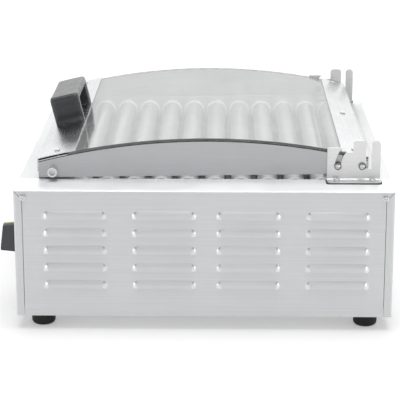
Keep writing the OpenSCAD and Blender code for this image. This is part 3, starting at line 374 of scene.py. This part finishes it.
# Rivet heads stand square to the lid's arch, whose centre is fitted to the glass.
rivetHead = {"radius": 0.0035, "height": 0.0009, "recess": 0.0}
arc = points("lid_glass")[:, 1:]
fitted = np.linalg.lstsq(np.c_[2 * arc, np.ones(len(arc))], (arc ** 2).sum(axis=1), rcond=None)[0]
spots = []
for group in groupsOf("strip_rivets", [-0.1, 0.1], [0.0]):
    out = middle(group)[1:] - fitted[:2]
    out = out / np.linalg.norm(out)
    reach = (group[:, 1:] - middle(group)[1:]) @ out
    spots.append(((middle(group)[0], *(middle(group)[1:] + out * reach.max())), (0.0, *out)))
domeHeads("strip_rivet_heads", "lid", spots, mat=pinSteel, **rivetHead)

# Each pin of the lid ends in a bright dome, a little smaller than the pin, so a rim of the pin's dark steel
# is left: painted shade for the shadow in the gap round the pin.
pinCap = {"share": 0.74, "height": 0.0009, "faceDepth": 0.0002}
for name in ("pivot_pins", "guide_pins"):
    spots = []
    for group in groupsOf(name, [0.0], []):
        side = np.sign(group[0, 0])
        reach = abs(group[:, 0]).max()
        face = group[abs(group[:, 0]) > reach - pinCap["faceDepth"]]
        spots.append(((side * reach, *middle(face)[1:]), (side, 0, 0)))
    radius = pinCap["share"] * np.ptp(face[:, 2]) / 2
    domeHeads(name[:-1] + "_caps", "lid", spots, radius, pinCap["height"], 0.0, pinSteel)
print("screw, rivet and pin heads made")

# Bridge handle, moulded with round edges: a section carried along a bridge-shaped path. Each ring
# runs from a point of the inner line to one of the outer line, both with round corners, and the
# section is a rectangle whose corners are quarter circles, larger outside than inside. In mm.
handle = {"long": 116.0, "tall": 37.4, "wide": 36.5, "leg": 13.0, "bar": 9.0, "bend": 6.5, "eye": 4.0,
          "edge": 4.6, "lip": 1.4, "sunk": 0.4}


def bridge(half, low, tall, radius):  # a line up, round, across, round and down, in x and z
    corner = np.radians(np.linspace(0.0, 90.0, 13))
    bow = np.c_[half - radius + radius * np.cos(corner), tall - radius + radius * np.sin(corner)]
    rise = np.c_[np.full(4, half), low + (tall - radius - low) * np.array([0.0, 0.5, 0.9, 0.98])]
    side = np.concatenate([rise, bow, np.c_[(half - radius) * np.array([0.97, 0.5]), np.full(2, tall)]])
    return np.concatenate([side, [[0.0, tall]], side[::-1] * [-1, 1]])


away = middle(points("handle_screws"))[1:] - fitted[:2]
away = away / np.linalg.norm(away)
offset = points("lid_handle")[:, 1:] - fitted[:2]
ground = (offset @ away).max() * 1000.0 - handle["tall"]
low = np.linalg.norm(offset, axis=1).min() * 1000.0 - ground - handle["sunk"]
inner = bridge(handle["long"] / 2 - handle["leg"], low, handle["tall"] - handle["bar"], handle["eye"])
outer = bridge(handle["long"] / 2, low, handle["tall"], handle["bend"])
thick = np.linalg.norm(outer - inner, axis=1)[:, None]
quarter = np.radians(np.linspace(0.0, 90.0, 9))
half, edge, lip = handle["wide"] / 2, handle["edge"], handle["lip"]
wide = np.concatenate([[0.92 * (half - edge)], half - edge + edge * np.sin(quarter),
                       half - lip + lip * np.cos(quarter)])
outside = np.concatenate([np.ones(10), np.zeros(9)])
depth = np.concatenate([[0.0], edge * np.cos(quarter) - edge, lip - lip * np.sin(quarter)])
wide = np.concatenate([wide, -wide[::-1]])
outside = np.concatenate([outside, outside[::-1]])
depth = np.concatenate([depth, depth[::-1]])
share = (outside[None, :] * thick + depth[None, :]) / thick
flat = inner[:, None, :] + share[..., None] * (outer - inner)[:, None, :]
up = (ground + flat[..., 1]) / 1000.0
aside = np.broadcast_to(wide[None, :] / 1000.0, up.shape)
corners = np.stack([flat[..., 0] / 1000.0, fitted[0] + up * away[0] + aside * away[1],
                    fitted[1] + up * away[1] - aside * away[0]], axis=-1).reshape(-1, 3)
grip = addPiece("handle_grip", corners, skin(len(outer), len(wide)), handlePlastic, "lid")
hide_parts("lid_handle")
print("handle made")

# Painted shadow under each bracket's foot: a dark rubber band with a flat outline and round corners, drawn in
# at its top edge, standing in for the foot's shadow on the deck.
footShade = {"beyond": 1.5, "tall": 1.0, "below": 0.2, "corner": 4.0, "soft": 0.3}
for side, name in ((1, "right"), (-1, "left")):
    lowest, highest = np.array(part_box("hinge_bracket_" + name)) * 1000.0
    near, far = sorted((abs(lowest[0]), abs(highest[0])))
    turn = np.radians(np.linspace(0.0, 90.0, 9))
    rows = []
    for shrink, z in ((0.0, -footShade["below"]), (0.0, footShade["tall"] - footShade["soft"]),
                      (footShade["soft"], footShade["tall"])):
        r = footShade["corner"] - shrink
        x = far + footShade["beyond"] - footShade["corner"] + r * np.cos(turn)
        y = highest[1] + footShade["beyond"] - footShade["corner"] + r * np.sin(turn)
        y2 = lowest[1] - footShade["beyond"] + footShade["corner"] - r * np.sin(turn)
        plan = np.concatenate([np.c_[x, y], [[near, y[-1]], [near, y2[-1]]], np.c_[x, y2][::-1]])
        rows.append(np.c_[side * plan[:, 0], plan[:, 1], np.full(len(plan), lowest[2] + z)])
    corners = np.concatenate([r[::side] for r in rows]) / 1000.0
    addPiece("bracket_foot_shade_" + name, corners, skin(3, len(plan)), sealRubber, "casing")
print("foot shades made")

# Soft white lip of each bush, round the roller's end: a closed profile of (radius, reach from the end
# wall's inner face), in mm, turned about the roller's axis.
bushLip = {"profile": [(12.8, 2.0), (12.8, 7.6), (13.1, 8.0), (13.8, 8.0), (14.3, 7.4), (14.4, 6.5),
                       (14.4, 2.0)], "steps": 40}
turn = np.linspace(0.0, 2 * np.pi, bushLip["steps"], endpoint=False)[None, :]
for side, name in ((1, "right"), (-1, "left")):
    radius, reach = np.array(bushLip["profile"][::side]).T[:, :, None] / 1000.0
    inside = abs(points("end_wall_" + name)[:, 0]).min()
    corners, faces = [], []
    for roller in rollerNames:
        centre = middle(points(roller))
        ring = np.stack([side * (inside - reach) + 0 * turn, centre[1] + radius * np.cos(turn),
                         centre[2] + radius * np.sin(turn)], axis=-1).reshape(-1, 3)
        faces += ringSkin(len(radius), bushLip["steps"], len(corners) * len(ring))
        corners.append(ring)
    addPiece("bush_lips_" + name, np.concatenate(corners), faces, bushPlastic, "casing")

# Raised lip on the end wall of the drive side, which keeps splashes off the chain. Its top follows
# the lower edge of the lid's panel, a little above it, and runs out in a quarter ellipse at each end.
guard = {"front": -168.0, "rear": 160.0, "over": 2.5, "runOut": 8.0, "sunk": 0.3, "soft": 0.35, "thick": 1.2}
panel = points("lid_panel_left") * 1000.0
ends = [panel[abs(panel[:, 1] - y) < 1.0][:, 2].min() for y in (panel[:, 1].min(), panel[:, 1].max())]
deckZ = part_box("end_wall_left")[1][2] * 1000.0
ramp = guard["runOut"] * (1 - np.cos(np.radians(np.linspace(0.0, 90.0, 10))))
y = np.concatenate([guard["front"] + ramp, (guard["rear"] - ramp)[::-1]])
edge = np.minimum(y - guard["front"], guard["rear"] - y).clip(0.0, guard["runOut"]) / guard["runOut"]
full = np.interp(y, [panel[:, 1].min(), panel[:, 1].max()], ends) + guard["over"] - deckZ
top = deckZ + guard["soft"] + (full - guard["soft"]) * np.sqrt(1 - (1 - edge) ** 2)
outer = points("end_wall_left")[:, 0].max() * 1000.0 - guard["thick"]
section = [(0.0, None), (0.0, guard["soft"]), (0.3, 0.0), (0.7, 0.0), (1.0, guard["soft"]), (1.0, None)]
rows = [np.stack([np.full(len(y), outer + share * guard["thick"]), y,
                  top - dip if dip is not None else np.full(len(y), deckZ - guard["sunk"])], axis=-1)
        for share, dip in section]
corners = np.stack(rows, axis=1).reshape(-1, 3) / 1000.0
addPiece("drive_guard_lip", corners, skin(len(y), len(section)), innerSteel, "casing", smooth=False)

# Cover over the well behind the last roller: a flat strip level with the deck, its front edge turned
# down. The section's points are (distance forward of the rear rim, depth below the deck), in mm.
cover = {"section": [(20.2, 0.9), (19.6, 0.3), (-0.4, 0.3), (-0.4, 1.3), (19.2, 1.3), (19.2, 8.0),
                     (20.2, 8.0)], "short": 0.3}
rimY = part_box("end_wall_left")[1][1] * 1000.0
half = abs(points("end_wall_left")[:, 0]).min() * 1000.0 - cover["short"]
ahead, below = np.array(cover["section"]).T
corners = np.concatenate([np.c_[np.full(len(ahead), x), rimY - ahead, deckZ - below]
                          for x in (half, -half)])
addPiece("rear_well_cover", corners / 1000.0, skin(2, len(ahead)), frontSteel, "casing", smooth=False)
print("bush lips, guard and cover made")

# Inlay on each knob's grip: a flat strip along its top, which tapers a little to the front.
# Path points are (reach from the panel, height over the axis), in mm.
inlay = {"path": [(8.0, 18.73), (15.0, 18.08), (22.0, 17.43)], "wide": 3.2, "proud": 0.3, "sunk": 0.3}
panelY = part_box("front_panel")[0][1]
for side in ("right", "left"):
    centre = middle(points("knob_" + side))
    path = np.array(inlay["path"])
    slope = np.gradient(path, axis=0)
    out = np.stack([-slope[:, 1], slope[:, 0]], axis=1)
    out = out / np.linalg.norm(out, axis=1, keepdims=True)
    half, proud, sunk = inlay["wide"] / 2, inlay["proud"], inlay["sunk"]
    rows = [np.stack([np.full(len(path), x), *(path + out * lift).T], axis=1)
            for x, lift in ((-half, -sunk), (half, -sunk), (half, proud), (-half, proud))]
    strip = np.stack(rows, axis=1).reshape(-1, 3) / 1000.0
    corners = np.stack([centre[0] + strip[:, 0], panelY - strip[:, 1], centre[2] + strip[:, 2]], axis=1)
    addPiece("knob_inlay_" + side, corners, skin(len(path), 4), inlayPlastic, side + "_knob", smooth=False)

# Dial round each knob: eleven printed strokes over 270 degrees, every second one with a number. In mm.
dial = {"strokes": 11, "step": 27.0, "inner": 22.5, "long": 4.0, "short": 2.5, "wide": 0.7, "thick": 0.06,
        "sunk": 0.02, "numbers": 30.5, "size": 5.0, "relief": 0.04}
for side in ("right", "left"):
    centre = middle(points("knob_" + side))
    corners, faces = [], []
    for i in range(dial["strokes"]):
        angle = math.radians(dial["step"] * i)
        away = np.array([math.sin(angle), 0.0, math.cos(angle)])
        across = np.array([math.cos(angle), 0.0, -math.sin(angle)])
        ends = [dial["inner"], dial["inner"] + (dial["short"] if i % 2 else dial["long"])]
        for depth in (dial["sunk"], -dial["thick"]):
            for end, sign in ((0, -1), (0, 1), (1, 1), (1, -1)):
                spot = away * ends[end] + across * sign * dial["wide"] / 2 + np.array([0.0, depth, 0.0])
                corners.append(spot / 1000.0 + [centre[0], panelY, centre[2]])
        faces += skin(2, 4, i * 8)
    addPiece("dial_strokes_" + side, corners, faces, greyPrint, "casing", smooth=False)
    for i in range(0, dial["strokes"], 2):
        angle = math.radians(dial["step"] * i)
        text = bpy.data.curves.new("number", "FONT")
        text.body = str(i)
        text.align_x = text.align_y = "CENTER"
        text.size = dial["size"] / 1000.0
        text.extrude = dial["relief"] / 1000.0
        holder = bpy.data.objects.new("number", text)
        bpy.context.scene.collection.objects.link(holder)
        mesh = bpy.data.meshes.new_from_object(holder)
        bpy.data.objects.remove(holder)
        reach = dial["numbers"] / 1000.0
        spot = (centre[0] + reach * math.sin(angle), panelY - dial["sunk"] / 1000.0,
                centre[2] + reach * math.cos(angle))
        mesh.transform(Matrix.Translation(spot) @ Matrix.Rotation(math.pi / 2, 4, "X"))
        mesh.materials.clear()
        mesh.materials.append(greyPrint)
        number = bpy.data.objects.new("dial_number_%s_%02d" % (side, i), mesh)
        bpy.context.scene.collection.objects.link(number)
        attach(number, "casing")
print("inlays and dials made")

# Marks on the rocker, laid on its two faces: a bar above and a ring below. In mm.
marks = {"offset": 6.0, "bar": (1.0, 4.6), "ring": (1.6, 2.3), "steps": 40, "thick": 0.06, "sunk": 0.1}
rocker = nodes["switch_rocker"].data
surface = BVHTree.FromPolygons([v.co for v in rocker.vertices], [p.vertices for p in rocker.polygons])
rockerAt = middle(points("switch_rocker"))
for name, sign in (("rocker_mark_on", 1), ("rocker_mark_off", -1)):
    start = Vector((0.0, panelY - 0.1, rockerAt[2] + sign * marks["offset"] / 1000.0))
    spot, normal = surface.ray_cast(start, Vector((0, 1, 0)))[:2]
    basis = turnTo(normal)
    if sign > 0:
        w, h = marks["bar"]
        rim = np.array([(-w, -h), (w, -h), (w, h), (-w, h)]) / 2
        ring = np.stack([np.c_[rim, np.full(4, z)] for z in (-marks["sunk"], marks["thick"])]).reshape(-1, 3)
        faces = skin(2, 4)
    else:
        turn = np.linspace(0, 2 * np.pi, marks["steps"], endpoint=False)
        rim = np.c_[np.cos(turn), np.sin(turn)]
        inner, outer = marks["ring"]
        low, high = -marks["sunk"], marks["thick"]
        rows = ((inner, low), (outer, low), (outer, high), (inner, high))
        ring = np.stack([np.c_[rim * r, np.full(len(rim), z)] for r, z in rows]).reshape(-1, 3)
        faces = ringSkin(len(rows), len(rim))
    addPiece(name, ring / 1000.0 @ basis.T + np.array(spot), faces, whitePrint, "rocker", smooth=False)

# Lamp bezels: a ring turned from a profile of (radius, height over the panel), in mm.
bezel = {"profile": [(7.4, 0.0), (7.4, 1.2), (7.1, 2.1), (6.3, 2.7), (5.5, 2.75), (5.05, 2.2), (5.05, 1.4)],
         "steps": 48}
turn = np.linspace(0.0, 2 * np.pi, bezel["steps"], endpoint=False)[None, :]
radius, lift = np.array(bezel["profile"]).T[:, :, None] / 1000.0
corners, faces = [], []
for group in groupsOf("indicator_lamps", [0.0], []):
    centre = middle(group)
    ring = np.stack([centre[0] + radius * np.cos(turn), panelY - lift + 0 * turn,
                     centre[2] + radius * np.sin(turn)], axis=-1).reshape(-1, 3)
    faces += ringSkin(len(radius), bezel["steps"], len(corners) * len(ring))
    corners.append(ring)
addPiece("lamp_bezels", np.concatenate(corners), faces, blackPlastic, "casing")
print("marks and bezels made")

# Floor of pale paper. It shows white to the camera and in metal, and keeps the shadow. Far from
# the object, where less light falls, it is lifted more.
floorPlan = {"half": 6.0, "colour": "e8e8e8", "lift": 0.31, "farLift": 0.75, "near": 1.3, "far": 3.5}
mesh = bpy.data.meshes.new("floor")
h = floorPlan["half"]
mesh.from_pydata([(-h, -h, 0), (h, -h, 0), (h, h, 0), (-h, h, 0)], [], [(0, 1, 2, 3)])
floor = bpy.data.objects.new("floor", mesh)
bpy.context.scene.collection.objects.link(floor)
mat, tree, out = newMaterial("pale_paper_floor")
path = addNode(tree, "ShaderNodeLightPath")
direct = addNode(tree, "ShaderNodeMath", operation="MAXIMUM",
                 links={0: path.outputs["Is Camera Ray"], 1: path.outputs["Is Glossy Ray"]})
seen = addNode(tree, "ShaderNodeMath", operation="MAXIMUM",
               links={0: direct.outputs[0], 1: path.outputs["Is Transmission Ray"]})
spot = addNode(tree, "ShaderNodeTexCoord")
apart = addNode(tree, "ShaderNodeVectorMath", links={0: spot.outputs["Object"]}, operation="LENGTH")
lift = addNode(tree, "ShaderNodeMapRange", {"From Min": floorPlan["near"], "From Max": floorPlan["far"],
                                            "To Min": floorPlan["lift"], "To Max": floorPlan["farLift"]},
               {"Value": apart.outputs["Value"]}, interpolation_type="SMOOTHSTEP")
strength = addNode(tree, "ShaderNodeMath", operation="MULTIPLY",
                   links={0: seen.outputs[0], 1: lift.outputs["Result"]})
paper = addNode(tree, "ShaderNodeBsdfDiffuse", {"Color": linear(floorPlan["colour"])})
glow = addNode(tree, "ShaderNodeEmission", links={"Strength": strength.outputs[0]})
added = addNode(tree, "ShaderNodeAddShader", links={0: paper.outputs[0], 1: glow.outputs[0]})
tree.links.new(added.outputs[0], out.inputs["Surface"])
mesh.materials.append(mat)
print("floor laid")

# Studio: a white room for the camera and in reflections, and half as bright in the light it gives. In
# reflections its upper half on the right is dimmer, where a studio has no lamps.
studio = {"light": 0.5, "shown": 1.0, "dim": 0.6, "right": (0.0, 0.6), "upper": (0.15, 0.5)}
world = bpy.data.worlds.new("studio")
bpy.context.scene.world = world
world.use_nodes = True
tree = world.node_tree
tree.nodes.clear()
path = addNode(tree, "ShaderNodeLightPath")
direct = addNode(tree, "ShaderNodeMath", operation="MAXIMUM",
                 links={0: path.outputs["Is Camera Ray"], 1: path.outputs["Is Glossy Ray"]})
seen = addNode(tree, "ShaderNodeMath", operation="MAXIMUM",
               links={0: direct.outputs[0], 1: path.outputs["Is Transmission Ray"]})
level = addNode(tree, "ShaderNodeMapRange", {"To Min": studio["light"], "To Max": studio["shown"]},
                {"Value": seen.outputs[0]})
coord = addNode(tree, "ShaderNodeTexCoord")
where = addNode(tree, "ShaderNodeSeparateXYZ", links={0: coord.outputs["Generated"]})
toRight = addNode(tree, "ShaderNodeMapRange",
                  {"From Min": studio["right"][0], "From Max": studio["right"][1]},
                  {"Value": where.outputs["X"]}, interpolation_type="SMOOTHSTEP")
upward = addNode(tree, "ShaderNodeMapRange",
                 {"From Min": studio["upper"][0], "From Max": studio["upper"][1]},
                 {"Value": where.outputs["Z"]}, interpolation_type="SMOOTHSTEP")
corner = addNode(tree, "ShaderNodeMath", operation="MULTIPLY",
                 links={0: toRight.outputs["Result"], 1: upward.outputs["Result"]})
dark = addNode(tree, "ShaderNodeMath", operation="MULTIPLY",
               links={0: corner.outputs[0], 1: path.outputs["Is Glossy Ray"]})
rest = addNode(tree, "ShaderNodeMath", {1: -studio["dim"], 2: 1.0}, {0: dark.outputs[0]},
               operation="MULTIPLY_ADD")
shine = addNode(tree, "ShaderNodeMath", operation="MULTIPLY",
                links={0: level.outputs["Result"], 1: rest.outputs[0]})
sky = addNode(tree, "ShaderNodeBackground", {"Color": linear("ffffff")}, {"Strength": shine.outputs[0]})
tree.links.new(sky.outputs[0], addNode(tree, "ShaderNodeOutputWorld").inputs["Surface"])

# Two softboxes, and a small low lamp off each right corner that lights the ends of the louvres.
aim = Vector((0.0, 0.0, 0.15))
lamps = {
    "top_softbox": {"at": (0.2, 0.1, 2.4), "size": (1.8, 1.8), "power": 30.0},
    "back_softbox": {"at": (-2.6, 0.0, 1.7), "size": (3.2, 1.6), "power": 15.0},
    "front_lamp": {"at": (0.56, -0.50, 0.15), "size": (0.12, 0.16), "power": 0.11},
    "rear_lamp": {"at": (0.56, 0.50, 0.15), "size": (0.12, 0.16), "power": 0.11},
}
for name, lamp in lamps.items():
    light = bpy.data.lights.new(name, "AREA")
    light.shape = "RECTANGLE"
    light.size, light.size_y = lamp["size"]
    light.energy = lamp["power"]
    box = bpy.data.objects.new(name, light)
    bpy.context.scene.collection.objects.link(box)
    box.location = lamp["at"]
    box.rotation_mode = "QUATERNION"
    box.rotation_quaternion = (aim - Vector(lamp["at"])).to_track_quat("-Z", "Y")
    box.visible_camera = False
    box.visible_transmission = False

# Camera on the right side, a little above, with a long lens.
cameraPlan = {"at": (2.063, 0.031, 0.658), "down": 15.56, "turn": -0.91, "lens": 145.6, "sensor": 36.0}
down = math.radians(cameraPlan["down"])
turn = math.radians(cameraPlan["turn"])
ahead = Vector((-math.cos(down) * math.cos(turn), math.cos(down) * math.sin(turn), -math.sin(down)))
across = Vector((math.sin(turn), math.cos(turn), 0.0))
lens = bpy.data.cameras.new("camera")
lens.lens = cameraPlan["lens"]
lens.sensor_width = cameraPlan["sensor"]
lens.clip_start = 0.05
lens.clip_end = 60.0
camera = bpy.data.objects.new("camera", lens)
bpy.context.scene.collection.objects.link(camera)
basis = Matrix((across, across.cross(ahead), -ahead)).transposed()
camera.matrix_world = Matrix.Translation(cameraPlan["at"]) @ basis.to_4x4()
bpy.context.scene.camera = camera
bpy.context.scene.view_settings.view_transform = "Standard"
print("camera and light set")
